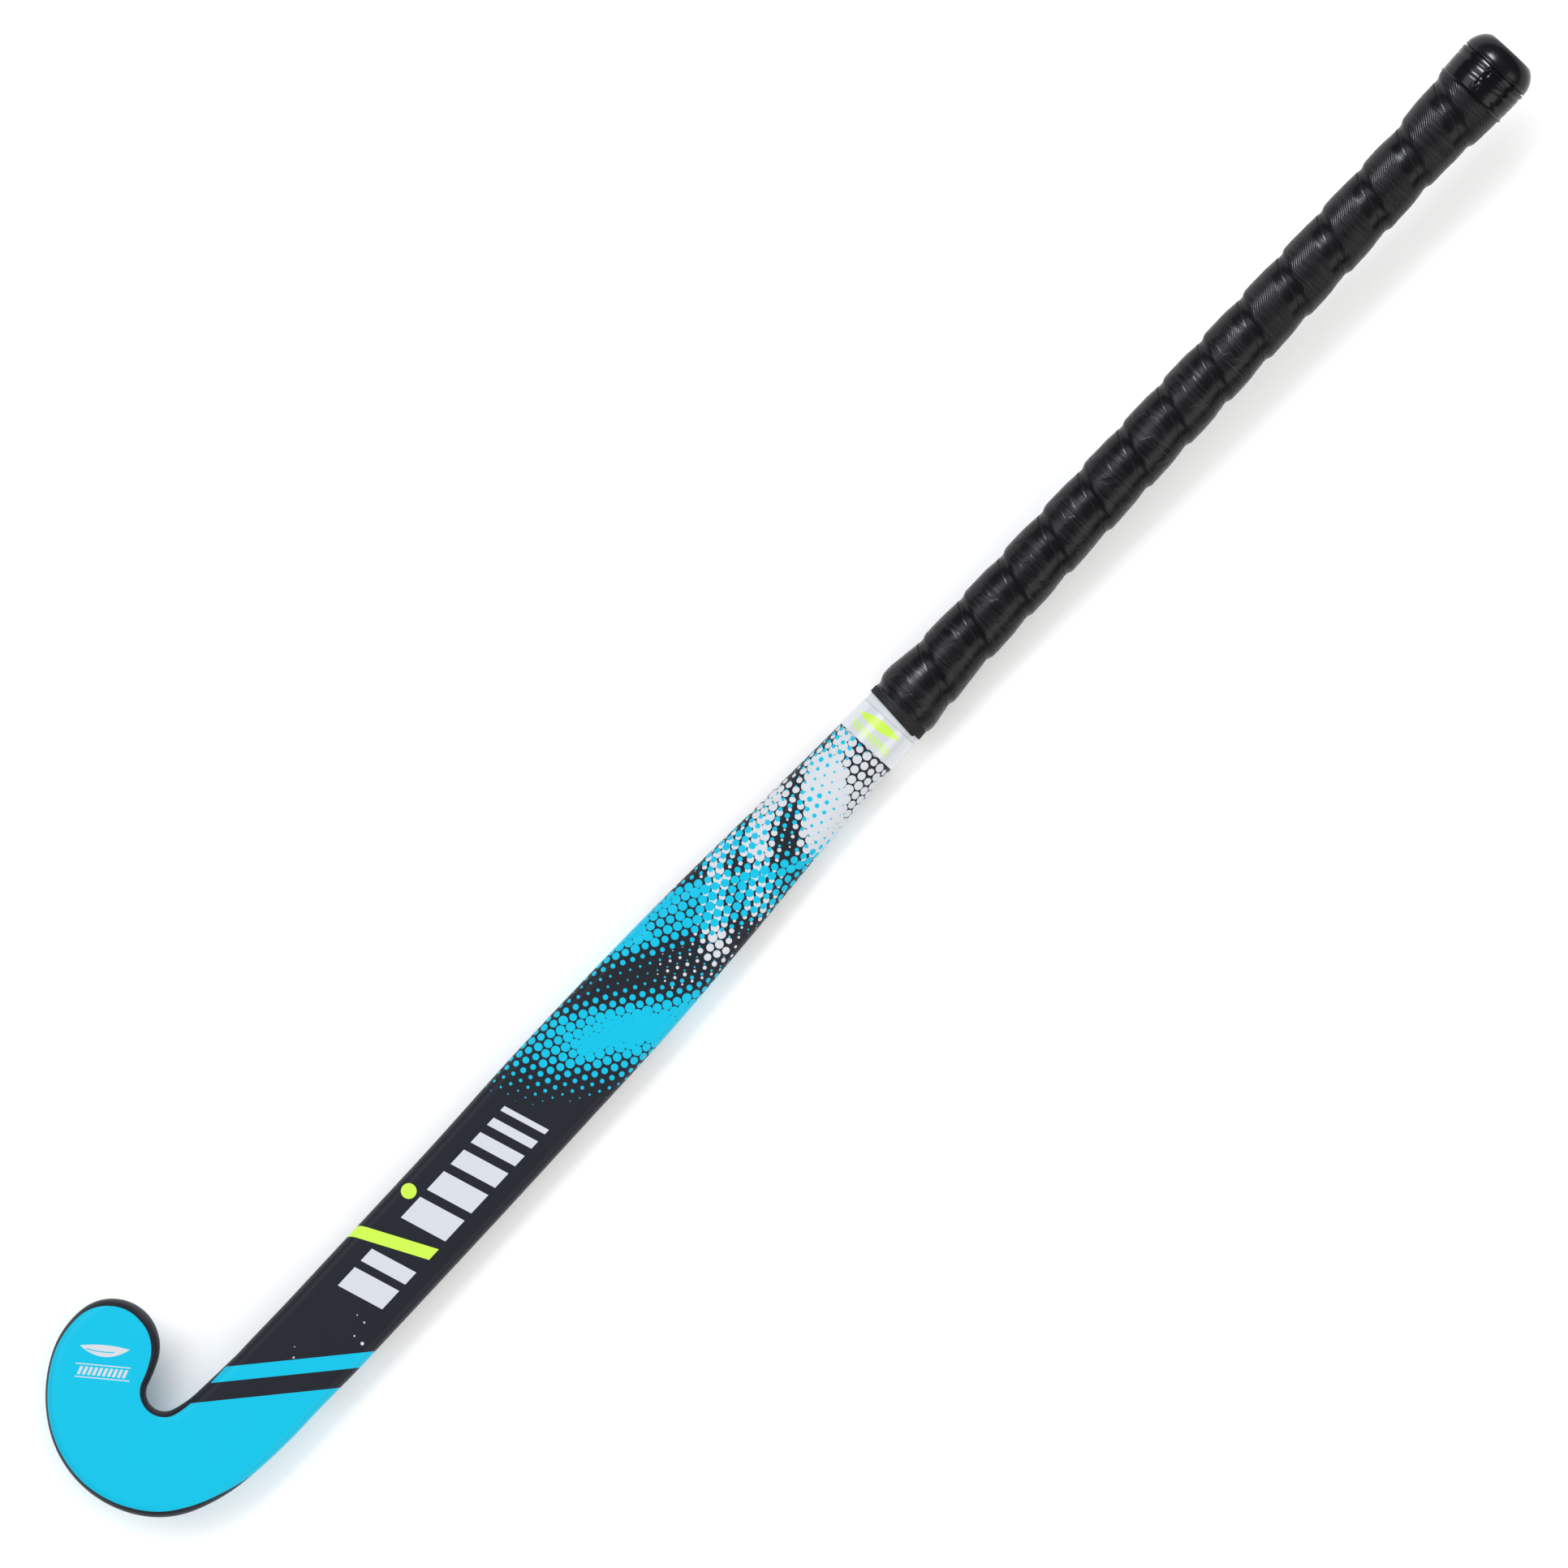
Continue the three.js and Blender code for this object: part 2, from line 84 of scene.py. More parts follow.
GRIP_PITCH, GRIP_LAP, GRIP_FIRST_EDGE = 26.8, 6.0, 530.6
FACE_POINT = (24.0, 34.0)  # of the playing face's mount


def along(rows, x, column=1):
    """Values read off a short list of (distance, value, ...) rows by a cubic that never overshoots them."""
    rows = np.array(rows, float)
    xs, ys = rows[:, 0], rows[:, column]
    steps = np.diff(xs)
    rise = np.diff(ys) / steps
    slope = np.zeros(len(xs))
    both = rise[:-1] * rise[1:]
    total = rise[:-1] + rise[1:]
    slope[1:-1] = np.where(both > 0, 2 * both / np.where(total == 0, 1, total), 0)
    x = np.clip(np.asarray(x, float), xs[0], xs[-1])
    i = np.clip(np.searchsorted(xs, x, side="right") - 1, 0, len(xs) - 2)
    t = (x - xs[i]) / steps[i]
    a = (1 + 2 * t) * (1 - t) ** 2 * ys[i] + t * (1 - t) ** 2 * steps[i] * slope[i]
    return a + t * t * (3 - 2 * t) * ys[i + 1] + t * t * (t - 1) * steps[i] * slope[i + 1]


def smooth(x, low, high):
    """0 below the low value and 1 above the high one, with an S-shaped rise between."""
    t = np.clip((np.asarray(x, float) - low) / (high - low), 0, 1)
    return t * t * (3 - 2 * t)


def face_height(x):
    bent = np.clip(x, BOW_START, BOW_END)
    slope = (bent - BOW_LOWEST) / BOW_RADIUS
    return FACE_HEIGHT + (bent - BOW_LOWEST) * slope / 2 + slope * (x - bent)


def edge_radius(x):
    return (along(EDGES, x, 2) - along(EDGES, x, 1)) / 2


def axis_y(x):
    return (along(EDGES, x, 2) + along(EDGES, x, 1)) / 2


def axis_z(x):
    return face_height(x) - HANDLE_DEPTH


def roundness(x):
    return smooth(x, ROUND_START, ROUND_END)


def thickness(x):
    return np.where(x < ROUND_END, along(THICKNESS, x), 2 * edge_radius(x))


def top_drop(x):
    return roundness(x) * (HANDLE_DEPTH - thickness(x) / 2)


def trace_arcs(start, heading, arcs):
    """Tangent arcs from a point and heading, in steps of at most 1 degree and 2 mm. A positive turn is
    clockwise."""
    points = [np.array(start, float)]
    angle = math.radians(heading)
    for radius, degrees in arcs:
        turn = math.radians(degrees)
        centre = points[-1] + radius * math.copysign(1, turn) * np.array([math.sin(angle), -math.cos(angle)])
        arm = points[-1] - centre
        steps = math.ceil(max(abs(degrees), radius * abs(turn) / 2))
        for i in range(1, steps + 1):
            c, s = math.cos(-turn * i / steps), math.sin(-turn * i / steps)
            points.append(centre + np.array([c * arm[0] - s * arm[1], s * arm[0] + c * arm[1]]))
        angle -= turn
    return np.array(points)


def hook_edges(inset=0.0):
    """The hook's outer edge from the shaft round to the toe, and its inner edge back to the shaft."""
    def set_in(arcs):
        return [(radius - math.copysign(inset, degrees), degrees) for radius, degrees in arcs]

    outer = trace_arcs((HEAD_END, HEAD_START_Y + inset), HEAD_HEADING, set_in(OUTER_ARCS))
    return outer, trace_arcs(outer[-1], -90, set_in(INNER_ARCS))


def crossing(edge, origin, direction):
    """Where a ray from the origin first meets an edge."""
    side = edge[1:] - edge[:-1]
    offset = edge[:-1] - origin
    turn = direction[0] * side[:, 1] - direction[1] * side[:, 0]
    turn = np.where(np.abs(turn) < 1e-12, 1e-12, turn)
    distance = (offset[:, 0] * side[:, 1] - offset[:, 1] * side[:, 0]) / turn
    share = (offset[:, 0] * direction[1] - offset[:, 1] * direction[0]) / turn
    hit = (share >= -1e-6) & (share <= 1 + 1e-6) & (distance > 0)
    return origin + direction * distance[hit].min()


# ---------------------------------------------------------------- cross-sections

FACE_STEPS, CORNER_STEPS, BACK_CORNER_STEPS, BACK_STEPS = 20, 8, 12, 6


def section(half, x, inset, squash=1.0):
    """One closed section as (across, depth) rows: flat face, rounded corners, rounded back."""
    blend = float(roundness(x))
    thick = float(thickness(x)) - 2 * inset
    face_run = min(FACE_RUN - inset + (half - FACE_RUN + inset) * blend, half)
    back_run = min((BACK_SHARE + (1 - BACK_SHARE) * blend) * half, half)
    drop = (FACE_DROP - inset) * (1 - blend) + thick / 2 * blend
    a = np.radians(np.linspace(0, 90, CORNER_STEPS + 1))
    b = np.radians(np.linspace(0, 90, BACK_CORNER_STEPS + 1))[1:]
    side = [(half - face_run * (1 - math.sin(t)), drop * (1 - math.cos(t))) for t in a]
    side += [(half - back_run * (1 - math.cos(t)), drop + (thick - drop) * math.sin(t)) for t in b]
    side = np.array(side)
    flat = half - face_run
    face = np.linspace(-flat, flat, FACE_STEPS + 1)[1:-1]
    back_flat = half - back_run
    back = np.linspace(back_flat, -back_flat, BACK_STEPS + 1)[1:-1]
    mirrored = side[::-1] * [-1, 1]
    loop = np.vstack([
        np.column_stack([face, np.zeros_like(face)]),
        side,
        np.column_stack([back, np.full_like(back, thick)]),
        mirrored,
    ])
    middle = inset + thick / 2
    loop[:, 1] = middle + (loop[:, 1] - thick / 2) * squash
    return loop


def raise_section(inner, outer, x, inset, squash=1.0):
    """A section stood between two points of the outline, under the bowed face."""
    middle = (inner + outer) / 2
    across = outer - inner
    half = float(np.hypot(*across)) / 2
    across = across / (2 * half)
    loop = section(half, x, inset, squash)
    flat = middle + loop[:, :1] * across
    return np.column_stack([flat, face_height(flat[:, 0]) - top_drop(flat[:, 0]) - loop[:, 1]])


TOE_STEPS, FAN_STEPS, SHAFT_STEP = 26, 96, 2.2
TIP_ANGLE = 88  # just short of the very tip, where a section has no width


def hook_sections(inset):
    """Sections across the toe, then fanned out round the crook, then across the heel up to the shaft."""
    outer, inner = hook_edges(inset)
    tip = outer[-1]
    rings = []
    for i in range(TOE_STEPS + 1):
        x = CROOK[0] + (tip[0] - CROOK[0]) * math.sin(math.radians(TIP_ANGLE) * (1 - i / TOE_STEPS))
        middle = np.array([x, tip[1]])
        a = crossing(inner, middle, np.array([0.0, -1.0]))
        b = crossing(outer, middle, np.array([0.0, 1.0]))
        from_tip = min(max((tip[0] - x) / (TOE_CORNER - inset), 0), 1)
        rings.append(raise_section(a, b, x, inset, math.sqrt(1 - (1 - from_tip) ** 2)))
    for i in range(1, FAN_STEPS + 1):
        angle = math.pi / 2 + math.pi * i / FAN_STEPS
        ray = np.array([math.cos(angle), math.sin(angle)])
        a = crossing(inner, CROOK, ray)
        rings.append(raise_section(a, crossing(outer, CROOK, ray), a[0], inset))
    for x in np.arange(CROOK[0] + SHAFT_STEP, HEAD_END - 0.5, SHAFT_STEP):
        middle = np.array([x, 0.0])
        a = crossing(inner, middle, np.array([0.0, 1.0]))
        rings.append(raise_section(a, crossing(outer, middle, np.array([0.0, -1.0])), x, inset))
    return rings


def shaft_section(x, inset):
    inner = np.array([x, float(along(EDGES, x, 2)) - inset])
    outer = np.array([x, float(along(EDGES, x, 1)) + inset])
    return raise_section(inner, outer, x, inset)


def stations(start, end, step):
    return np.linspace(start, end, max(2, round((end - start) / step) + 1))


# ---------------------------------------------------------------- meshes

mount = next(m for m in frame["record"]["mounts"] if m["name"] == "playing_face")
SHIFT = np.array(mount["pos_m"]) - np.array([*FACE_POINT, float(face_height(FACE_POINT[0]))]) * MM


def make_mesh(name, points, faces, attributes=None, smooth_angle=40):
    """A mesh piece from points in millimetres in the stick's axes, with float attributes on its points."""
    mesh = bpy.data.meshes.new(name)
    mesh.from_pydata((np.asarray(points) * MM + SHIFT).tolist(), [], [tuple(f) for f in faces])
    for key, values in (attributes or {}).items():
        layer = mesh.attributes.new(key, "FLOAT", "POINT")
        layer.data.foreach_set("value", np.asarray(values, np.float32))
    bm = bmesh.new()
    bm.from_mesh(mesh)
    bmesh.ops.remove_doubles(bm, verts=bm.verts, dist=2e-6)
    bmesh.ops.dissolve_degenerate(bm, edges=bm.edges, dist=1e-6)
    bmesh.ops.recalc_face_normals(bm, faces=bm.faces)
    for edge in bm.edges:
        if len(edge.link_faces) == 2:
            edge.smooth = edge.calc_face_angle() < math.radians(smooth_angle)
    for face in bm.faces:
        face.smooth = True
    bm.to_mesh(mesh)
    bm.free()
    piece = bpy.data.objects.new(name, mesh)
    bpy.context.scene.collection.objects.link(piece)
    return piece


def wall_faces(rings, count, first=0, reverse=False):
    """Quads between successive rings of points."""
    i = np.arange(rings - 1)[:, None] * count + first
    j = np.arange(count)[None, :]
    k = (j + 1) % count
    quads = np.stack([i + j, i + k, i + count + k, i + count + j], axis=-1).reshape(-1, 4)
    return quads[:, ::-1] if reverse else quads


def lid_faces(first, count):
    return [tuple(range(first, first + count))]


def shell_mesh(name, outer, inner, closed_start=False, closed_end=False, attributes=None):
    """A wall between two sets of rings. Each end is closed on both sides or joined by a rim."""
    outer, inner = np.array(outer), np.array(inner)
    count = outer.shape[1]
    inside = outer.shape[0] * count
    faces = [*wall_faces(outer.shape[0], count), *wall_faces(inner.shape[0], count, inside, True)]
    ends = [(closed_start, 0, inside),
            (closed_end, inside - count, inside + (inner.shape[0] - 1) * count)]
    for closed, a, b in ends:
        if closed:
            faces += lid_faces(a, count) + lid_faces(b, count)
        else:
            faces += [(a + j, a + (j + 1) % count, b + (j + 1) % count, b + j) for j in range(count)]
    points = np.vstack([outer.reshape(-1, 3), inner.reshape(-1, 3)])
    return make_mesh(name, points, faces, attributes)


def round_ring(x, radius, sides):
    """A ring round the handle's axis. x and radius may vary round the ring."""
    a = np.arange(sides) * 2 * math.pi / sides
    x = np.broadcast_to(np.asarray(x, float), a.shape)
    radius = np.broadcast_to(np.asarray(radius, float), a.shape)
    return np.column_stack([x, axis_y(x) + radius * np.cos(a), axis_z(x) + radius * np.sin(a)])


# ---------------------------------------------------------------- shader nodes

def union(masks):
    """The parts of the surface that any of the masks covers."""
    return functools.reduce(Value.max, masks)


class Value:
    """A shader node's output that can be used in sums."""

    def __init__(self, tree, socket):
        self.tree, self.socket = tree, socket

    def _math(self, operation, *others, clamp=False):
        node = self.tree.nodes.new("ShaderNodeMath")
        node.operation, node.use_clamp = operation, clamp
        for slot, value in zip(node.inputs, (self, *others)):
            if isinstance(value, Value):
                self.tree.links.new(value.socket, slot)
            else:
                slot.default_value = value
        return Value(self.tree, node.outputs[0])

    def __add__(self, other):
        return self._math("ADD", other)

    def __sub__(self, other):
        return self._math("SUBTRACT", other)

    def __mul__(self, other):
        return self._math("MULTIPLY", other)

    def __truediv__(self, other):
        return self._math("DIVIDE", other)

    def __rsub__(self, other):
        return (self * -1) + other

    def max(self, other):
        return self._math("MAXIMUM", other)

    def abs(self):
        return self._math("ABSOLUTE")

    def sqrt(self):
        return self._math("SQRT")

    def sine(self):
        return self._math("SINE")

    def fraction(self):
        return self._math("FRACT")

    def above(self, edge, blur=0.05):
        """1 where the value is over the edge, 0 where under, with a thin soft border."""
        return ((self - edge) / (2 * blur) + 0.5)._math("ADD", 0.0, clamp=True)

    def below(self, edge, blur=0.05):
        return ((edge - self) / (2 * blur) + 0.5)._math("ADD", 0.0, clamp=True)

    def within(self, low, high, blur=0.05):
        return self.above(low, blur) * self.below(high, blur)

    def ramp(self, low, high):
        """0 to 1 as the value goes from low to high."""
        return ((self - low) / (high - low))._math("ADD", 0.0, clamp=True)


MIX_BASE, MIX_TOP, MIX_RESULT = 6, 7, 2  # the Mix node's sockets for colours


class Surface:
    """A material with one Principled shader, and the nodes that feed it."""

    def __init__(self, name, colour, roughness, **inputs):
        self.material = bpy.data.materials.new(name)
        self.material.use_nodes = True
        self.tree = self.material.node_tree
        self.shader = self.tree.nodes["Principled BSDF"]
        self.shader.inputs["Base Color"].default_value = (*colour, 1)
        self.shader.inputs["Roughness"].default_value = roughness
        self.material.diffuse_color = (*colour, 1)
        for key, value in inputs.items():
            self.shader.inputs[key.replace("_", " ")].default_value = value

    def place(self):
        """x, y and z in millimetres in the stick's axes."""
        coordinates = self.tree.nodes.new("ShaderNodeTexCoord")
        split = self.tree.nodes.new("ShaderNodeSeparateXYZ")
        self.tree.links.new(coordinates.outputs["Object"], split.inputs[0])
        return [(Value(self.tree, split.outputs[i]) - float(SHIFT[i])) / MM for i in range(3)]

    def attribute(self, name):
        node = self.tree.nodes.new("ShaderNodeAttribute")
        node.attribute_name = name
        return Value(self.tree, node.outputs["Fac"])

    def vector(self, x, y, z=0.0):
        node = self.tree.nodes.new("ShaderNodeCombineXYZ")
        for slot, value in zip(node.inputs, (x, y, z)):
            if isinstance(value, Value):
                self.tree.links.new(value.socket, slot)
            else:
                slot.default_value = value
        return node.outputs[0]

    def noise(self, vector, scale, detail=2.0, rough=0.5):
        node = self.tree.nodes.new("ShaderNodeTexNoise")
        self.tree.links.new(vector, node.inputs["Vector"])
        node.inputs["Scale"].default_value = scale
        node.inputs["Detail"].default_value = detail
        node.inputs["Roughness"].default_value = rough
        return Value(self.tree, node.outputs["Fac"])

    def chance(self, x, y):
        """A fixed random share for each whole-numbered x and y."""
        node = self.tree.nodes.new("ShaderNodeTexWhiteNoise")
        node.noise_dimensions = "2D"
        self.tree.links.new(self.vector(x, y), node.inputs["Vector"])
        return Value(self.tree, node.outputs["Value"])

    def cells(self, vector, scale):
        """Distance to the nearest of many scattered points."""
        node = self.tree.nodes.new("ShaderNodeTexVoronoi")
        self.tree.links.new(vector, node.inputs["Vector"])
        node.inputs["Scale"].default_value = scale
        return Value(self.tree, node.outputs["Distance"])

    def paint(self, base, layers):
        """Colours laid over a base colour, each by its mask."""
        colour = base
        for mask, top in layers:
            node = self.tree.nodes.new("ShaderNodeMix")
            node.data_type = "RGBA"
            self.tree.links.new(mask.socket, node.inputs["Factor"])
            node.inputs[MIX_TOP].default_value = (*top, 1)
            if isinstance(colour, tuple):
                node.inputs[MIX_BASE].default_value = (*colour, 1)
            else:
                self.tree.links.new(colour, node.inputs[MIX_BASE])
            colour = node.outputs[MIX_RESULT]
        return colour

    def set(self, key, value):
        """Feeds one of the shader's inputs."""
        socket = value.socket if isinstance(value, Value) else value
        self.tree.links.new(socket, self.shader.inputs[key])

    def bump(self, height, depth_mm):
        """Fine relief: height 0 to 1 stands for this many millimetres."""
        node = self.tree.nodes.new("ShaderNodeBump")
        node.inputs["Strength"].default_value = 1.0
        node.inputs["Distance"].default_value = depth_mm * MM
        self.tree.links.new(height.socket, node.inputs["Height"])
        self.tree.links.new(node.outputs[0], self.shader.inputs["Normal"])


# The strip lights reach only these, because the photo's black pieces reflect more than its print does.
BLACK_SLOTS = ("grip", "finishing_band", "closing_tape", "cap_rubber")
black_pieces = bpy.data.collections.new("black pieces")


def dress(piece, surface, slot=None, *nodes):
    """Gives a piece its material and ties it to the frame."""
    piece.data.materials.clear()
    piece.data.materials.append(surface.material)
    if slot in BLACK_SLOTS:
        black_pieces.objects.link(piece)
    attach(piece, "root")
    if nodes:
        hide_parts(*nodes)


# ---------------------------------------------------------------- the printed skin

INK = (0.0140, 0.0160, 0.0225)
CYAN = (0.0005, 0.375, 0.545)
WHITE = (0.465, 0.490, 0.520)
LIME = (0.430, 0.660, 0.060)
PALE_LIME = (0.42, 0.62, 0.13)

# Halftone ink, as dot radii in shares of the radius at which neighbouring dots touch.
# Blots run from (x, y) to (x, y), with full-strength width, fading width and strength.
CYAN_BLOTS = [
    (412, 18, 424, 12, 3, 22, 0.72), (424, 12, 458, 0, 2, 18, 0.50), (474, 15, 496, 10, 5, 12, 0.50),
    (318, 18, 372, -18, 6, 8, 0.16),
]
WHITE_BLOTS = [
    (450, -16, 472, 6, 7, 12, 1.18), (476, -14, 496, 8, 12, 4, 0.80), (474, 10, 492, 8, 4, 8, 0.93),
    (442, 17, 449, 16, 3, 12, 1.00), (424, 4, 442, 15, 2.5, 10, 1.00), (402, 7, 405, 13, 2, 8, 0.93),
    (420, 0, 428, 0, 1, 8, 0.85), (408, 16, 420, 16, 2, 7, 0.85), (395, 3, 385, -8, 0.5, 12, 0.82),
    (378, -13, 384, -8, 2, 12, 0.86), (407, -14, 416, -4, 2, 14, 0.78), (358, -6, 372, -16, 4, 8, 0.32),
    (444, -26, 486, -22, 4, 4, 1.00),
]
# Bands lie between slanted edges, each (x at y = 0, lean, fading width). Strength is at y = 0, then per mm.
CYAN_BANDS = [
    ([(284, 1.1, 37), (284, 0.5, 37)], [(338, 1.3, 30)], 1.05, -0.013),
    ([(371, 1.9, 34)], [(414, 1.5, 20)], 0.80, 0.009),
    ([(401, 1.5, 16)], [(420.5, 1.5, 24)], 1.06, 0.006),
]
MOST_INK = 1.18
TOUCHING = 2.48  # radius in millimetres
DOT_COLUMN, DOT_ROW = 4.2, 4.6
STRIPE_SLOPE = 1.142
HEAD_LINE, STRIPE = 86.4, (99.0, 109.2)
RIM = [  # distance along the hook's outline from its start on the outer edge, width
    (0, -2), (30, -1), (42, 0.4), (55, 1.6), (75, 2.8), (100, 2.5), (127, 1.5), (160, 1.0), (190, 1.0),
    (215, 1.7), (230, 3.4), (249, 4.6), (265, 4.1), (278, 3.2), (292, 2.8), (303, 2.7), (312, 2.1),
    (322, 1.1),
]
BAR_LEAN, SLASH_LEAN = 0.26, 0.483
BARS = [(149.5, 161), (165, 172.5), (192, 205), (209.5, 221), (225.5, 234.5), (239, 245.5), (250, 254.5),
        (259, 261.8)]
SLASH = (177.6, 184.2)
FRONT_DEPTH = 11.0  # the marks end this far below the face
SPECKS = [(135.3, -17.4, 0.8), (135.4, -12.4, 0.4), (143, -11.5, 0.45), (143.3, -6.8, 0.3),
          (109.2, 1.3, 0.45), (113.1, 4.3, 0.25)]


def blot_dots(x, y, blots):
    """Radius of the halftone's dots at each point, in millimetres, in round-ended blots."""
    share = np.zeros_like(x)
    for x0, y0, x1, y1, core, fade, level in blots:
        dx, dy = x1 - x0, y1 - y0
        t = np.clip(((x - x0) * dx + (y - y0) * dy) / (dx * dx + dy * dy), 0, 1)
        distance = np.hypot(x - x0 - t * dx, y - y0 - t * dy)
        share = np.maximum(share, level * np.clip(1 - (distance - core) / fade, 0, 1))
    return share * TOUCHING


def band_dots(x, y, bands):
    """The same in slanted bands."""
    share = np.zeros_like(x)
    for lefts, rights, level, rise in bands:
        inside = [0.5 + (x - x0 + lean * y) / fade for x0, lean, fade in lefts]
        inside += [0.5 - (x - x0 + lean * y) / fade for x0, lean, fade in rights]
        top = np.clip(level + rise * y, 0, MOST_INK)
        share = np.maximum(share, np.clip(np.min(inside, axis=0), 0, top))
    return share * TOUCHING


def edge_distance(points):
    """Distance in from the hook's outline, and how far along it the nearest point lies."""
    outer, inner = hook_edges()
    line = np.vstack([outer, inner[1:]])
    a, side = line[:-1], line[1:] - line[:-1]
    length = np.hypot(side[:, 0], side[:, 1])
    start = np.concatenate([[0], np.cumsum(length)[:-1]])
    best = np.full(len(points), np.inf)
    where = np.zeros(len(points))
    for i in range(len(a)):
        t = np.clip(((points - a[i]) @ side[i]) / length[i] ** 2, 0, 1)
        gap = np.hypot(*(points - a[i] - t[:, None] * side[i]).T)
        closer = gap < best
        best[closer] = gap[closer]
        where[closer] = start[i] + t[closer] * length[i]
    return best, where


def print_rows(rings):
    """The print's own y for each point: y on the flat face, then measured round the sides to the middle of
    the back. Also how far each point lies from that middle, where the two sides of the print would meet."""
    rings = np.array(rings)
    step = np.hypot(*(rings[:, :, 1:] - np.roll(rings[:, :, 1:], 1, axis=1)).transpose(2, 0, 1))
    count = step.shape[1]
    middle = (FACE_STEPS - 1) // 2
    back_middle = FACE_STEPS - 1 + CORNER_STEPS + BACK_CORNER_STEPS + 1 + (BACK_STEPS - 1) // 2
    y = rings[:, :, 1]
    rows, to_seam = np.zeros_like(step), np.zeros_like(step)
    for direction in (1, -1):
        order = [(middle + direction * k) % count for k in range(count)]
        order = order[: order.index(back_middle) + 1]
        taken = order[1:] if direction == 1 else order[:-1]
        lengths = np.cumsum(np.hstack([np.zeros((len(step), 1)), step[:, taken]]), axis=1)
        sign = np.sign(y[:, order[3]] - y[:, middle])[:, None]
        rows[:, order] = y[:, [middle]] + sign * lengths
        to_seam[:, order] = lengths[:, [-1]] - lengths
    return rows, to_seam


def skin_mesh():
    """The skin as a shell, with what its print needs to know about each point."""
    along_shaft = stations(HEAD_END, SKIN_END, SHAFT_STEP)
    hook = hook_sections(0.0)
    outer = hook + [shaft_section(x, 0.0) for x in along_shaft]
    inner = hook_sections(SKIN) + [shaft_section(x, SKIN) for x in along_shaft]
    rings = np.array(outer)
    points = rings.reshape(-1, 3)
    row = points[:, 1].copy().reshape(rings.shape[:2])
    unrolled, to_seam = print_rows(outer)
    share = smooth(rings[:, :, 0], 112, 140)
    hook_count = len(hook)
    row[hook_count:] += (unrolled - row)[hook_count:] * share[hook_count:]
    row = row.ravel()
    fade = smooth(to_seam.ravel(), 1, 13)
    gap, where = edge_distance(points[:, :2])
    rim = np.where(points[:, 0] < HEAD_END, gap - np.interp(where, *np.array(RIM).T), 5.0)
    attributes = {
        "print_row": row,
        "rim": np.clip(rim, -8, 8),
        "depth": face_height(points[:, 0]) - top_drop(points[:, 0]) - points[:, 2],
        "cyan": fade * np.maximum(blot_dots(points[:, 0], row, CYAN_BLOTS),
                                  band_dots(points[:, 0], row, CYAN_BANDS)),
        "white": fade * blot_dots(points[:, 0], row, WHITE_BLOTS),
    }
    both = {key: np.concatenate([values, values]) for key, values in attributes.items()}
    return shell_mesh("printed_skin", outer, inner, closed_start=True, attributes=both)


def halftone(surface, x, y, radius, shift=0.0):
    """Round dots of the given radius on a staggered grid, each a little larger or smaller by chance."""
    def column(dx, dy):
        u = (x + dx) / (2 * DOT_COLUMN)
        v = (y + dy) / DOT_ROW
        du = (u.fraction() - 0.5) * (2 * DOT_COLUMN)
        dv = (v.fraction() - 0.5) * DOT_ROW
        chance = surface.chance(u - u.fraction() + dx, v - v.fraction())
        return radius * (chance * 0.30 + 0.84) - (du * du + dv * dv).sqrt()

    inside = column(shift, shift).max(column(shift + DOT_COLUMN, shift + DOT_ROW / 2))
    return inside.above(0.0, 0.10) * radius.above(0.16, 0.04)


def disc(x, y, cx, cy, radius):
    u, v = x - cx, y - cy
    return (u * u + v * v).sqrt().below(radius)


def turned(x, y, cx, cy, degrees):
    """Coordinates along and across a line at an angle through a centre."""
    c, s = math.cos(math.radians(degrees)), math.sin(math.radians(degrees))
    u, v = x - cx, y - cy
    return u * c + v * s, v * c - u * s


def toe_mark(x, y):
    """A slit leaf over a row of slanted ticks between two rules."""
    u, v = turned(x, y, 48.8, 64.0, -52.5)
    half_length, tick_row, tick_pitch = 11.5, v + 5.1, 2.3
    inside = u.abs().below(half_length + 1.1, 0.1)
    rules = (v + 2.1).abs().below(0.24, 0.06).max((v + 8.1).abs().below(0.24, 0.06)) * inside
    leaning = u - tick_row * 0.35
    ticks = (leaning / tick_pitch).fraction().within(0.2, 0.8, 0.04) * leaning.abs().below(half_length, 0.08)
    ticks = ticks * tick_row.abs().below(1.9, 0.06)
    bow = v - 4.6 - (u / half_length) * 1.6 * (u / half_length)
    leaf = (bow.abs() / 2.7 + (u / half_length) * (u / half_length)).below(1.0, 0.04)
    slit = (bow + 0.5).abs().below(0.26, 0.08) * (u + 2).abs().below(6.5, 0.2)
    return rules.max(ticks).max(leaf * (1 - slit))


def side_mark(x, y):
    """Slanted bars that grow thinner along the stick."""
    lean = x + y * BAR_LEAN
    return union([lean.within(start, end) for start, end in BARS]) * y.within(-13.4, 9.0)


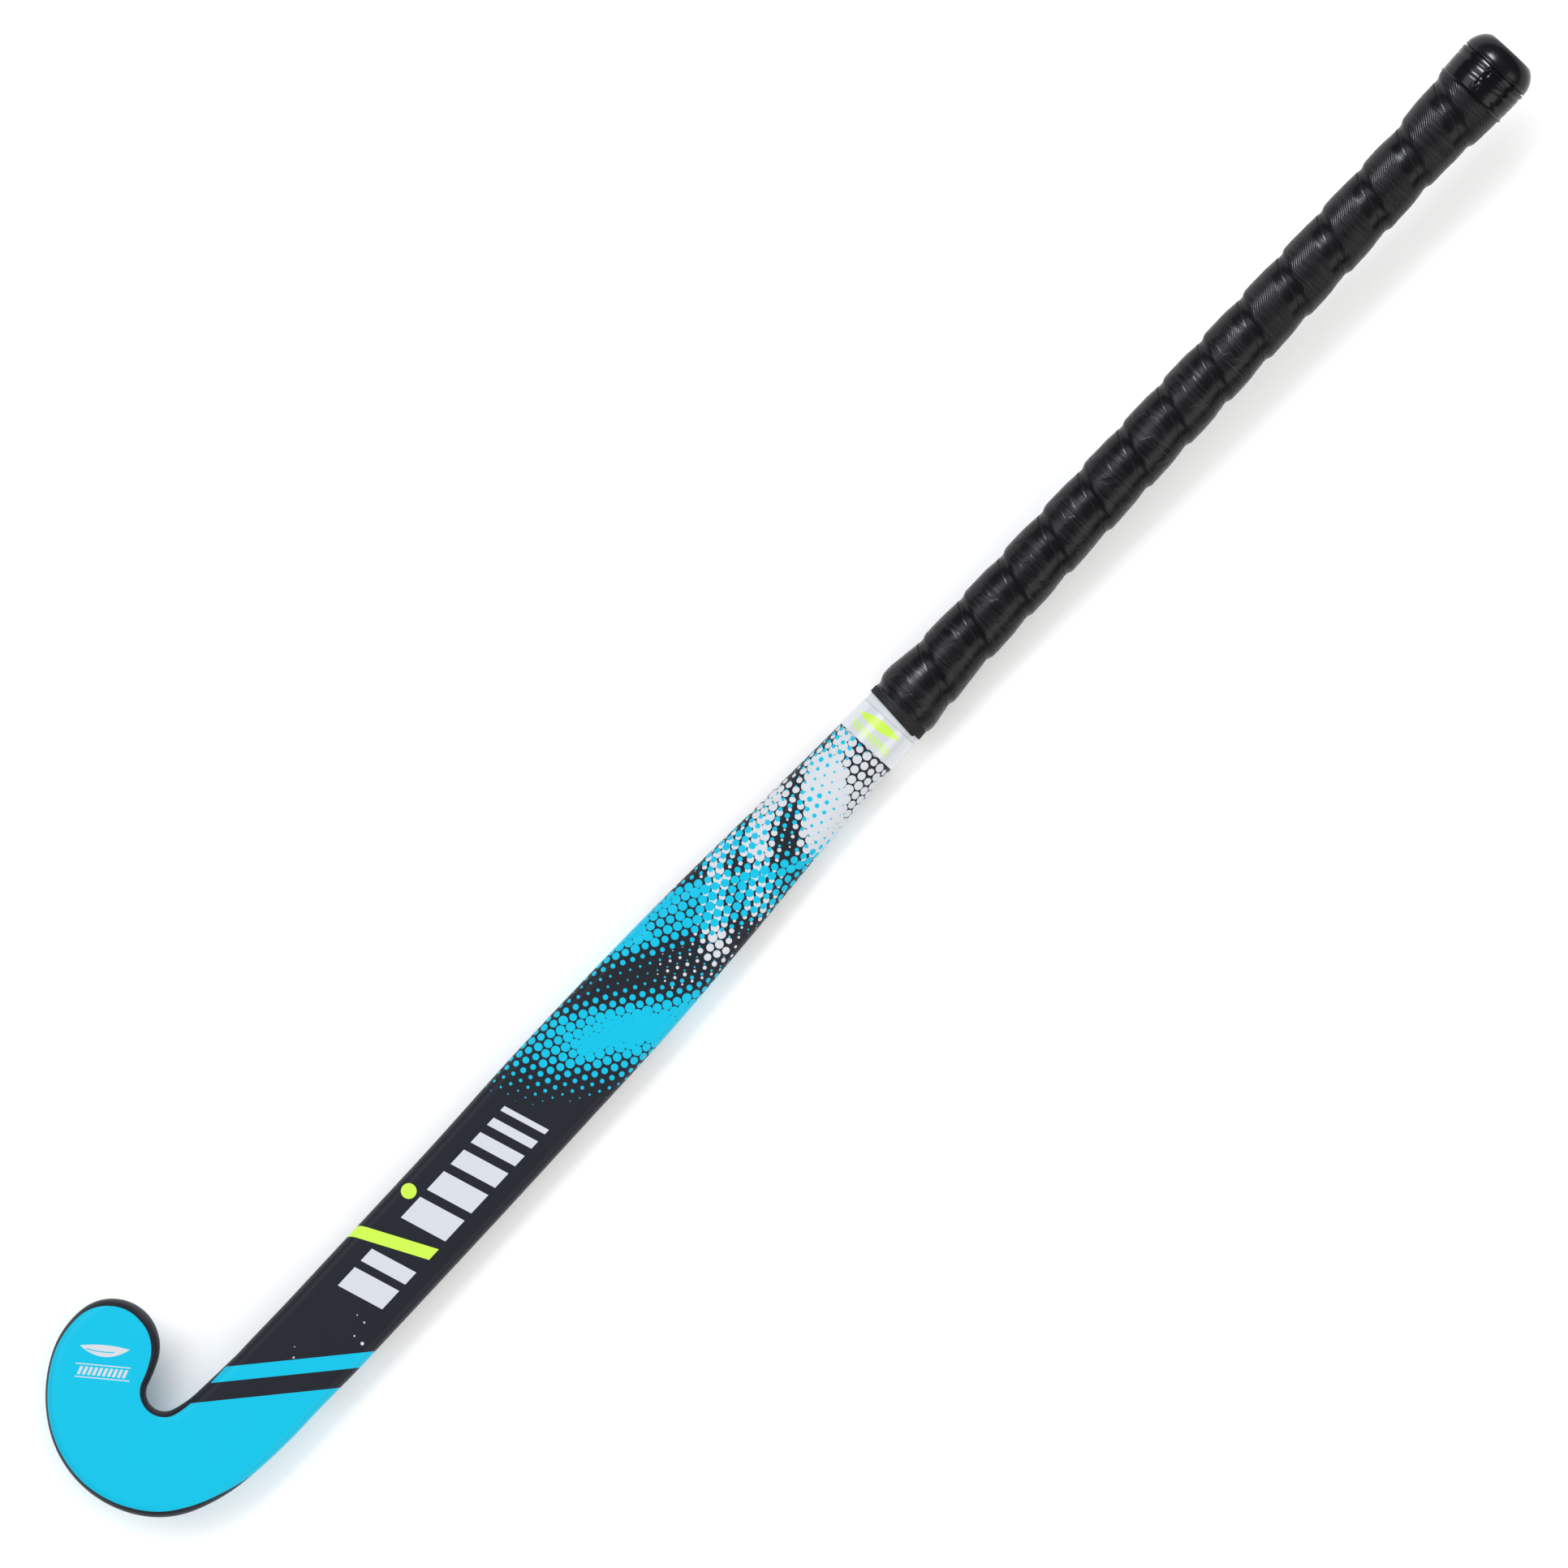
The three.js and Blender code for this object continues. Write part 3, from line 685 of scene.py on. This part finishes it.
def skin_surface():
    """Satin lacquer over the print. The halftone and the slash run on round the sides by print_row."""
    s = Surface("printed lacquer", INK, 0.40, Specular_IOR_Level=0.13)
    x, y, z = s.place()
    row = s.attribute("print_row")
    front = s.attribute("depth").below(FRONT_DEPTH, 0.3)
    rim = s.attribute("rim").above(0.0, 0.12)
    lean = x + y * STRIPE_SLOPE
    in_hook = y.above(26, 0.2)
    head = (lean.below(HEAD_LINE, 0.12).max(in_hook) * rim) * x.below(120)
    stripe = lean.within(*STRIPE, 0.12) * y.below(21.2, 0.15) * x.below(160)
    cyan_dots = halftone(s, x, row, s.attribute("cyan"))
    white_dots = halftone(s, x, row, s.attribute("white"), 1.3)
    collar = x.above(COLLAR_START)
    slash = (x + row * SLASH_LEAN).within(*SLASH) * row.above(-13.7)
    specks = union([disc(x, y, *speck) for speck in SPECKS])
    lime_dot = disc(x, y, 201.0, 14.6, 3.6)
    white = side_mark(x, y).max(toe_mark(x, y)).max(specks)
    colour = s.paint(INK, [
        (head.max(stripe), CYAN), (white_dots, WHITE), (cyan_dots * (1 - collar), CYAN),
        (white * front, WHITE), (slash.max(lime_dot) * front, LIME), (collar, WHITE),
    ])
    s.set("Base Color", colour)
    place = s.vector(x, y, z)
    scuffs = s.noise(place, 0.03, 4.0, 0.6)
    grain = s.noise(place, 1.1, 3.0, 0.6)
    s.set("Roughness", scuffs * 0.14 + grain * 0.06 + 0.34)
    s.bump(s.noise(place, 0.35, 2.0) * 0.6 + grain * 0.25, 0.02)
    return s


# ---------------------------------------------------------------- grip tape

TURN_STEPS = 72
TAPE, TAPE_EDGE, TAPE_STEP = 1.42, 0.38, 0.72
MEAN_RADIUS = 14.0
# The second black is painted sheen: a lighter black laid along the grip's streaks, standing in for their
# highlights.
GRIP_BLACK, GRIP_STREAK_SHEEN = (0.0020, 0.0018, 0.0021), (0.0060, 0.0056, 0.0062)
RIBBED_FROM = (738, 752)


def tape_heights(u):
    """Underside and top of the tape over the handle's surface, at a distance from its covered edge."""
    under = (TAPE_EDGE + 0.06) * smooth(u, GRIP_PITCH - 1.6, GRIP_PITCH)
    rise = TAPE_EDGE + (TAPE - TAPE_EDGE) * smooth(u, 8.3, 12.0)
    crown = 0.30 * np.clip((u - 14) / 14, 0, 1) ** 2
    fall = crown + (TAPE_STEP - 0.25) * smooth(u, GRIP_PITCH - 1.5, GRIP_PITCH + GRIP_LAP + 0.8)
    return under, rise - fall


def grip_mesh():
    """One tape wound in a helix, each turn lapped over the thin edge of the next one up the handle."""
    width = GRIP_PITCH + GRIP_LAP
    first = (GRIP_START - GRIP_FIRST_EDGE) / GRIP_PITCH
    last = (GRIP_END + width - GRIP_FIRST_EDGE) / GRIP_PITCH
    turns = np.arange(math.ceil(first * TURN_STEPS) + 1, math.floor(last * TURN_STEPS) - 1) / TURN_STEPS
    share = np.concatenate([np.linspace(0, 0.24, 6)[:-1], np.linspace(0.24, 0.40, 9)[:-1],
                            np.linspace(0.40, 0.76, 13)[:-1], np.linspace(0.76, 0.985, 15), [0.993, 1.0]])
    rings, tape_s, tape_u = [], [], []
    for turn in turns:
        start = GRIP_FIRST_EDGE + turn * GRIP_PITCH - width
        low, high = max(0.0, GRIP_START - start), min(width, GRIP_END - start)
        u = low + (high - low) * share
        angle = math.pi - turn * 2 * math.pi
        x = start + u
        under, top = tape_heights(u)
        rounding = 0.10 * smooth(u, high - 0.5, high)
        base = edge_radius(x) + GAP
        puff = wrinkle(x, angle)
        ring = []
        for xs, radius in ((x, base + top - rounding + puff), (x[::-1], (base + under)[::-1])):
            ring.append(np.column_stack([xs, axis_y(xs) + radius * math.cos(angle),
                                         axis_z(xs) + radius * math.sin(angle)]))
        rings.append(np.vstack(ring))
        along_tape = turn * 2 * math.pi * MEAN_RADIUS
        tape_s += [along_tape] * (2 * len(u))
        tape_u += [*u, *u[::-1]]
    rings = np.array(rings)
    count = rings.shape[1]
    faces = [*wall_faces(len(rings), count)]
    faces += lid_faces(0, count) + lid_faces((len(rings) - 1) * count, count)
    return make_mesh("grip_tape_wound", rings.reshape(-1, 3), faces,
                     {"tape_s": tape_s, "tape_u": tape_u}, smooth_angle=55)


def wrinkle(x, angle):
    """Unevenness of the wound tape, in millimetres, and its fuller first turn."""
    c, s = MEAN_RADIUS * math.cos(angle), MEAN_RADIUS * math.sin(angle)
    first = 0.5 * np.exp(-((x - 523.5 - 2.5 * math.cos(angle)) / 5.5) ** 2)
    start = -0.55 * (1 - smooth(x, GRIP_START - 0.2, GRIP_START + 3.5))
    broad = np.array([noise.noise(Vector((v * 0.11, c * 0.05, s * 0.05))) for v in x])
    fine = np.array([noise.noise(Vector((v * 0.55, c * 0.06 + 9, s * 0.06))) for v in x])
    return first + start + (0.22 * broad + 0.07 * fine)


def grip_surface():
    """Black polyurethane, streaked round the handle, with painted sheen in lighter streaks on each turn,
    ribbed above and embossed below.
    """
    s = Surface("grip polyurethane", GRIP_BLACK, 0.35, Specular_IOR_Level=0.12)
    x, y, z = s.place()
    along_tape, across_tape = s.attribute("tape_s"), s.attribute("tape_u")
    place = s.vector(x, y, z)
    grain = s.cells(place, 1.8)
    streaks = s.noise(s.vector(x, y * 0.05, z * 0.05), 1.1, 3.0, 0.65)
    folds = s.noise(s.vector(x, y * 0.09, z * 0.09), 0.35, 2.0, 0.5)
    body = across_tape.within(11.5, 27.8, 1.0)
    ribs = ((across_tape - along_tape * 0.54) * (2 * math.pi / 1.30)).sine() * 0.5 + 0.5
    upper = x.ramp(*RIBBED_FROM)
    seam = across_tape.within(4.9, 6.5, 0.25) * (1 - across_tape.below(3.0, 0.5))
    rough = s.noise(place, 0.12, 3.0) * 0.20 + streaks * 0.26 + body * 0.04 + 0.02
    # Painted sheen: lighter streaks on each turn's body stand in for highlights on the folds, which are real
    # relief in the bump.
    s.set("Base Color", s.paint(GRIP_BLACK, [(streaks.ramp(0.42, 0.75) * body, GRIP_STREAK_SHEEN)]))
    s.set("Roughness", rough.max(seam))
    relief = grain * 0.06 + streaks * 0.45 + folds * 1.1
    relief = relief + ribs * upper * body * 0.60 + emboss(along_tape, across_tape) * (1 - upper) * body * 0.60
    s.bump(relief, 0.18)
    return s


def emboss(along_tape, across_tape):
    """Raised outlines of linked lozenges along the tape, in pairs with a bare stretch between."""
    step = 37.0
    turn = along_tape / step
    local = (turn.fraction() - 0.5) * step
    outlines = []
    for shift, offset in ((-8.5, 1.4), (8.5, -1.4)):
        level = across_tape - 19.6 - offset
        reach = (local - shift + level * 0.55).abs().max(level.abs() * 1.5)
        outlines.append(reach.within(3.4, 6.6, 0.45))
    return union(outlines)


# ---------------------------------------------------------------- tapes, film and cap

def sleeve_mesh(name, start, end, inner, outer, step=0.6, sides=144, relief=None, lift=None):
    """A round sleeve on the handle. Its start may be a function of the angle. Relief adds to its outer
    radius, and lift to both."""
    angle = np.arange(sides) * 2 * math.pi / sides
    low = start(angle) if callable(start) else np.full(sides, start)
    high = np.full(sides, end)
    count = max(4, round(float(np.mean(high - low)) / step))
    outer_rings, inner_rings = [], []
    for i in range(count + 1):
        x = low + (high - low) * i / count
        lip = 0.12 * (1 - smooth(min(i, count - i) * step, 0, 0.7))
        extra = relief(x, angle) if relief else 0.0
        base = edge_radius(x) + (lift(x) if lift else 0.0)
        outer_rings.append(round_ring(x, base + outer + extra - lip, sides))
        inner_rings.append(round_ring(x, base + inner, sides))
    return shell_mesh(name, outer_rings, inner_rings)


def ridged(x, angle, scale_x, scale_round, seed=0.0):
    """Noise folded into sharp ridges, on a cylinder about as wide as the handle's end."""
    c, s = 17.0 * np.cos(angle), 17.0 * np.sin(angle)
    points = zip(x * scale_x, c * scale_round + seed, s * scale_round)
    return np.array([1 - abs(noise.noise(Vector(p))) * 2 for p in points])


def over_grip(x):
    """The closing tape starts on the end of the grip, then drops on to the cap's skirt."""
    return 1.30 * (1 - smooth(x, CAP_START - 0.3, CAP_START + 0.5))


CREASES = [  # x at the top, lean per radian, width, depth, angle of the deepest point, reach
    (906.8, 1.6, 0.50, 0.34, 1.9, 1.0), (909.3, 2.6, 0.55, 0.42, 2.0, 0.9),
    (911.9, 0.6, 0.75, 0.40, 1.2, 2.2), (903.6, -1.0, 0.45, 0.22, 2.5, 0.7),
    (908.5, -1.8, 0.60, 0.35, 4.4, 1.2), (905.0, 1.2, 0.60, 0.30, 5.6, 1.1),
]


def closing_relief(x, angle):
    """Creases of stretched vinyl round the handle, and a crumpled patch on top."""
    height = 0.10 * ridged(x, angle, 0.30, 0.06)
    for centre, lean, width, depth, middle, reach in CREASES:
        off = (angle - middle + math.pi) % (2 * math.pi) - math.pi
        line = centre + lean * (angle - math.pi / 2)
        height = height - depth * np.exp(-((x - line) / width) ** 2 - (off / reach) ** 4)
    crumple = np.exp(-((angle - math.pi / 2) / 0.17) ** 2) * smooth(x, 901.5, 903.5)
    height = height + crumple * (0.28 * ridged(x, angle, 0.25, 0.55, seed=7.0) ** 2 - 0.16)
    wrap = 0.22 * smooth(x, 913.2, 913.5)
    wrap = wrap + 0.14 * np.exp(-((x - 911.6) / 0.8) ** 2) - 0.3 * np.exp(-((x - 913.3) / 0.16) ** 2)
    return height + wrap - 0.12 - 0.85 * (1 - smooth(x, 899.5, 901.3))


def band_start(angle):
    """The tape's slanted edge, with the step where its end is stuck down."""
    return BAND_MIDDLE + 1.4 * np.cos(angle) + 1.3 * smooth(angle, 2.47, 2.55) * (1 - smooth(angle, 3.6, 5.2))


def band_relief(x, angle):
    """Fine folds along the stretch tape."""
    return 0.06 * ridged(x, angle, 0.9, 0.03, seed=2.0) ** 3


def cap_mesh():
    """The butt cap: cup, rolled shoulder and slightly dished end."""
    def bore(x):
        return float(edge_radius(x)) - WOOD_INSET + GAP

    def skirt(x):
        return bore(x) + CAP_WALL

    profile = [(x, skirt(x)) for x in np.linspace(CAP_START, 915.6, 18)]
    nose = [(915.8, 17.0), (916.0, 17.75), (916.5, 17.95), (917.0, 17.85), (917.2, 17.65), (917.5, 17.8),
            (918.6, 17.7), (920.2, 17.25), (921.8, 16.6), (923.2, 15.8), (924.6, 14.75), (925.7, 13.6),
            (926.5, 12.5), (926.9, 11.6), (LENGTH, 10.9), (LENGTH - 0.15, 10.0), (LENGTH - 0.7, 9.2),
            (LENGTH - 0.85, 6), (LENGTH - 0.85, 1.5)]
    sides = 144
    outer = [round_ring(x, r, sides) for x, r in profile + nose]
    inner = [round_ring(x, bore(x), sides) for x in (CAP_START, 904, 910, 917.3)]
    return shell_mesh("butt_cap_moulded", outer, inner, closed_end=True)


def black_surface(name, colour, roughness, relief, scale=0.4, specular=0.5):
    """Plain black rubber or vinyl with smears. The relief is in millimetres."""
    s = Surface(name, colour, roughness, Specular_IOR_Level=specular)
    x, y, z = s.place()
    place = s.vector(x, y, z)
    smears = s.noise(place, scale * 0.3, 4.0, 0.6)
    fine = s.noise(place, scale * 5, 3.0, 0.6)
    s.set("Roughness", smears * 0.16 + fine * 0.08 + (roughness - 0.1))
    s.bump(smears * 0.5 + fine * 0.5, relief)
    return s


def collar_surface():
    """A white print under clear film, with a lime leaf and a row of ticks on top."""
    s = Surface("collar print under film", WHITE, 0.2, Coat_Weight=0.5, Coat_Roughness=0.08)
    x, y, z = s.place()
    place = s.vector(x, y, z)
    top = z.above(float(axis_z(500.0)), 0.5)
    leaning = y - (x - 497.5) * 0.4
    ticks = (leaning / 2.0).fraction().within(0.22, 0.78, 0.04) * (leaning - 1.0).abs().below(11.0, 0.1)
    ticks = ticks * x.within(495.6, 499.4, 0.08)
    u, v = turned(x, y, 504.2, 1.6, 6)
    leaf = (u.abs() / 2.5 + (v / 11.5) * (v / 11.5)).below(1.0, 0.03)
    s.set("Base Color", s.paint(WHITE, [(ticks * top, PALE_LIME), (leaf * top, LIME)]))
    haze = s.noise(place, 0.25, 3.0)
    s.set("Roughness", haze * 0.12 + 0.22)
    s.bump(haze, 0.03)
    return s


# ---------------------------------------------------------------- wood, rubber and thread inside

def wood_surface(name, light, dark, ring, pore):
    """Wood with growth rings along the stick and open pores."""
    s = Surface(name, light, 0.6, Specular_IOR_Level=0.3)
    x, y, z = s.place()
    warp = s.noise(s.vector(x * 0.04, y, z), 0.12, 3.0)
    rings = (((y + z * 0.6) + warp * 9) * ring).sine() * 0.5 + 0.5
    pores = s.noise(s.vector(x * 0.03, y, z), pore, 4.0, 0.7)
    s.set("Base Color", s.paint(light, [(rings * 0.6, dark), (pores.above(0.6, 0.06) * 0.5, dark)]))
    s.set("Roughness", pores * 0.25 + 0.45)
    s.bump(rings * 0.4 + pores * 0.6, 0.08)
    return s


def thread_surface():
    """Turns of waxed thread laid side by side, with painted shade in the grooves between them."""
    s = Surface("waxed thread", (0.62, 0.55, 0.40), 0.75, Sheen_Weight=0.3)
    x, y, z = s.place()
    turns = (x * (2 * math.pi / 0.8)).sine() * 0.5 + 0.5
    fuzz = s.noise(s.vector(x, y, z), 2.5, 4.0, 0.7)
    # The darker colour between the turns is painted shade in the grooves; the fluff is the thread's own
    # colour.
    between, fluff = ((1 - turns) * 0.6, (0.30, 0.25, 0.17)), (fuzz * 0.3, (0.75, 0.70, 0.58))
    s.set("Base Color", s.paint((0.62, 0.55, 0.40), [between, fluff]))
    s.set("Roughness", fuzz * 0.2 + 0.6)
    s.bump(turns * 0.8 + fuzz * 0.2, 0.2)
    return s


def foam_surface():
    """Foam with open pits, with painted shade in them."""
    s = Surface("foam underlay", (0.80, 0.76, 0.66), 0.8)
    x, y, z = s.place()
    pits = s.cells(s.vector(x, y, z), 1.1)
    # The darker colour in the pits is painted shade, where the bump makes them lowest.
    s.set("Base Color", s.paint((0.80, 0.76, 0.66), [(pits.below(0.35, 0.1) * 0.5, (0.55, 0.50, 0.40))]))
    s.set("Roughness", pits * 0.2 + 0.65)
    s.bump(pits, 0.12)
    return s


def finish_inner_pieces():
    """Gives the wood, rubber, thread and foam their materials. They keep their CAD meshes."""
    mulberry = wood_surface("mulberry", (0.60, 0.36, 0.13), (0.38, 0.20, 0.06), 2.2, 1.2)
    cane = wood_surface("cane", (0.70, 0.52, 0.25), (0.48, 0.32, 0.12), 4.2, 2.4)
    rubber = black_surface("damping rubber", (0.02, 0.02, 0.02), 0.75, 0.05)
    surfaces = {"mulberry": mulberry, "cane": cane, "damping_rubber": rubber,
                "binding_thread": thread_surface(), "underlay": foam_surface()}
    for part in frame["record"]["subparts"]:
        surface = surfaces.get(part["material_slot"])
        if surface:
            node = frame["nodes"][part["node"]]
            node.data.materials.clear()
            node.data.materials.append(surface.material)


# ---------------------------------------------------------------- floor, light and camera

VIEW_WIDTH = 718.7  # millimetres across the picture
VIEW_CENTRE = (454.8, 15.6)
HANDLE_ANGLE = 47.1  # degrees above the picture's horizontal
LENS, SENSOR = 1000.0, 36.0


def build_camera():
    """Straight above the face, from far enough away to show almost no perspective."""
    distance = VIEW_WIDTH * MM * LENS / SENSOR
    centre = np.array([*VIEW_CENTRE, float(face_height(VIEW_CENTRE[0]))]) * MM + SHIFT
    data = bpy.data.cameras.new("camera")
    data.lens, data.sensor_width = LENS, SENSOR
    data.clip_end = 100
    camera = bpy.data.objects.new("camera", data)
    camera.location = (centre[0], centre[1], centre[2] + distance)
    camera.rotation_euler = (0, 0, math.radians(-HANDLE_ANGLE))
    bpy.context.scene.collection.objects.link(camera)
    bpy.context.scene.camera = camera


def area_light(name, place, target, size, power, colour, receivers=None):
    data = bpy.data.lights.new(name, "AREA")
    data.shape, data.size, data.size_y = "RECTANGLE", *size
    data.energy, data.color = power, colour
    lamp = bpy.data.objects.new(name, data)
    lamp.location = place
    lamp.rotation_euler = (Vector(target) - Vector(place)).to_track_quat("-Z", "Y").to_euler()
    if receivers:
        lamp.light_linking.receiver_collection = receivers
    bpy.context.scene.collection.objects.link(lamp)


def build_studio():
    """A pale floor, white surroundings and two softboxes, with strip lights for the black pieces."""
    mesh = bpy.data.meshes.new("floor")
    half = 30.0
    corners = [(-half, -half, 0), (half, -half, 0), (half, half, 0), (-half, half, 0)]
    mesh.from_pydata(corners, [], [(0, 1, 2, 3)])
    floor = bpy.data.objects.new("floor", mesh)
    bpy.context.scene.collection.objects.link(floor)
    paper = Surface("white paper", (0.92, 0.92, 0.92), 0.9, Specular_IOR_Level=0.0)
    mesh.materials.append(paper.material)
    world = bpy.data.worlds.new("studio")
    bpy.context.scene.world = world
    world.use_nodes = True
    background = world.node_tree.nodes["Background"]
    background.inputs["Color"].default_value = (1, 1, 1, 1)
    background.inputs["Strength"].default_value = 0.90
    world.cycles_visibility.glossy = False
    toe_side, heel_side, butt_end = (0.3, 1.05, 1.65), (0, -1.60, 1.20), (0.92, 1.05, 1.65)
    shaft, middle = (0.3, 0, 0), (0, 0, 0)
    area_light("softbox toe side", toe_side, shaft, (3.2, 0.9), 32, (0.95, 0.965, 1.0))
    area_light("softbox heel side", heel_side, middle, (2.6, 0.9), 18, (1.0, 0.98, 0.95))
    area_light("strip toe side", toe_side, shaft, (3.2, 0.80), 80, (0.88, 0.91, 1.0), black_pieces)
    area_light("strip heel side", heel_side, middle, (2.6, 0.70), 52, (1.0, 0.94, 0.85), black_pieces)
    area_light("strip butt end", butt_end, shaft, (0.6, 0.70), 75, (0.90, 0.93, 1.0), black_pieces)
    bpy.context.scene.view_settings.view_transform = "Standard"


# ---------------------------------------------------------------- assembly

build_camera()
build_studio()
finish_inner_pieces()

dress(skin_mesh(), skin_surface(), "printed_skin", "fibreglass_skin")
dress(grip_mesh(), grip_surface(), "grip", "grip_tape")
dress(sleeve_mesh("collar_film_sleeve", COLLAR_START, COLLAR_END, GAP, GAP + FILM), collar_surface(),
      "collar_film", "collar_film")
dress(sleeve_mesh("finishing_band_tape", band_start, BAND_END, GAP, GAP + BAND_TAPE, relief=band_relief),
      black_surface("matt band", (0.0035, 0.0035, 0.0035), 0.6, 0.05, scale=1.0, specular=0.1),
      "finishing_band", "finishing_band")
closing_inside = -WOOD_INSET + 2 * GAP + CAP_WALL
dress(sleeve_mesh("closing_tape_stretched", CLOSING_START, CLOSING_END, closing_inside,
                  closing_inside + CLOSING_TAPE, step=0.22, sides=300, relief=closing_relief,
                  lift=over_grip),
      black_surface("glossy vinyl", (0.0018, 0.0018, 0.0022), 0.15, 0.006, specular=0.17),
      "closing_tape", "closing_tape")
dress(cap_mesh(), black_surface("cap rubber", (0.0022, 0.0022, 0.0026), 0.20, 0.010, specular=0.15),
      "cap_rubber", "butt_cap")
